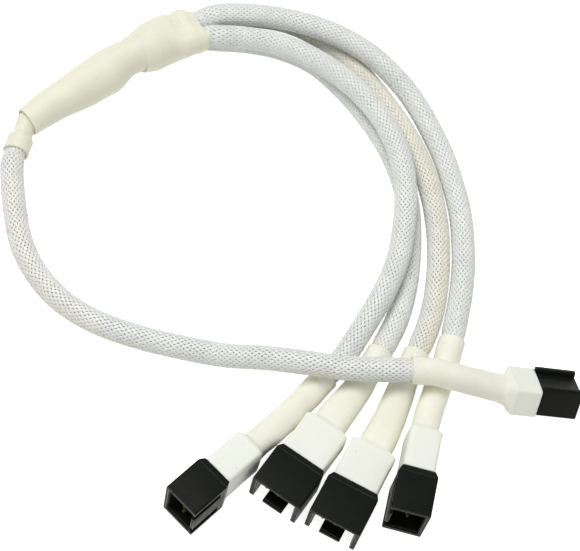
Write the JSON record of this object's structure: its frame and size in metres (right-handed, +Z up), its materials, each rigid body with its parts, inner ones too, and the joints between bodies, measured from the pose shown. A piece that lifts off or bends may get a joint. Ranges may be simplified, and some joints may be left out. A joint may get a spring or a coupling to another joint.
{
  "type": "fan splitter",
  "caption": "Splitter lead for computer fans: a keyed plug on a braided lead, a heat-shrunk junction, and braided leads that each end in a shrouded pin socket.",
  "frame": {"origin": "on the surface it lies on, under the middle of the box round the junction and the connectors", "axes": "+Z up from the surface, -Y the way the sockets face, +X the way the input plug faces"},
  "size_m": [0.1224, 0.1207, 0.0124],
  "materials": {
    "heat_shrink": "shrunk polyolefin tube, cream white, satin",
    "sleeve": "braided polyester monofilament, white",
    "housing": "moulded nylon, black, semi-gloss",
    "socket_contact": "stamped phosphor bronze, bright tin plate",
    "pin_contact": "stamped brass, thin gold flash",
    "splice": "moulded nylon closed-end cap, natural",
    "wire": "extruded PVC insulation"
  },
  "bodies": {
    "root": {"wide_tube": "heat_shrink", "tapered_tube": "heat_shrink", "input_cuff": "heat_shrink", "input_lead": "sleeve", "output_lead_1": "sleeve", "output_lead_2": "sleeve", "output_lead_3": "sleeve", "output_lead_4": "sleeve", "input_boot": "heat_shrink", "output_boot_1": "heat_shrink", "output_boot_2": "heat_shrink", "output_boot_3": "heat_shrink", "output_boot_4": "heat_shrink", "input_plug": "housing", "output_housing_1": "housing", "output_housing_2": "housing", "output_housing_3": "housing", "output_housing_4": "housing", "input_contacts": "socket_contact", "output_pins_1": "pin_contact", "output_pins_2": "pin_contact", "output_pins_3": "pin_contact", "output_pins_4": "pin_contact", "power_splice": "splice", "ground_splice": "splice", "signal_splice": "splice", "input_splice_wires": "wire", "output_splice_wires_1": "wire", "output_splice_wires_2": "wire", "output_splice_wires_3": "wire", "output_splice_wires_4": "wire", "input_plug_wires": "wire", "output_pin_wires_1": "wire", "output_pin_wires_2": "wire", "output_pin_wires_3": "wire", "output_pin_wires_4": "wire"}
  },
  "joints": []
}
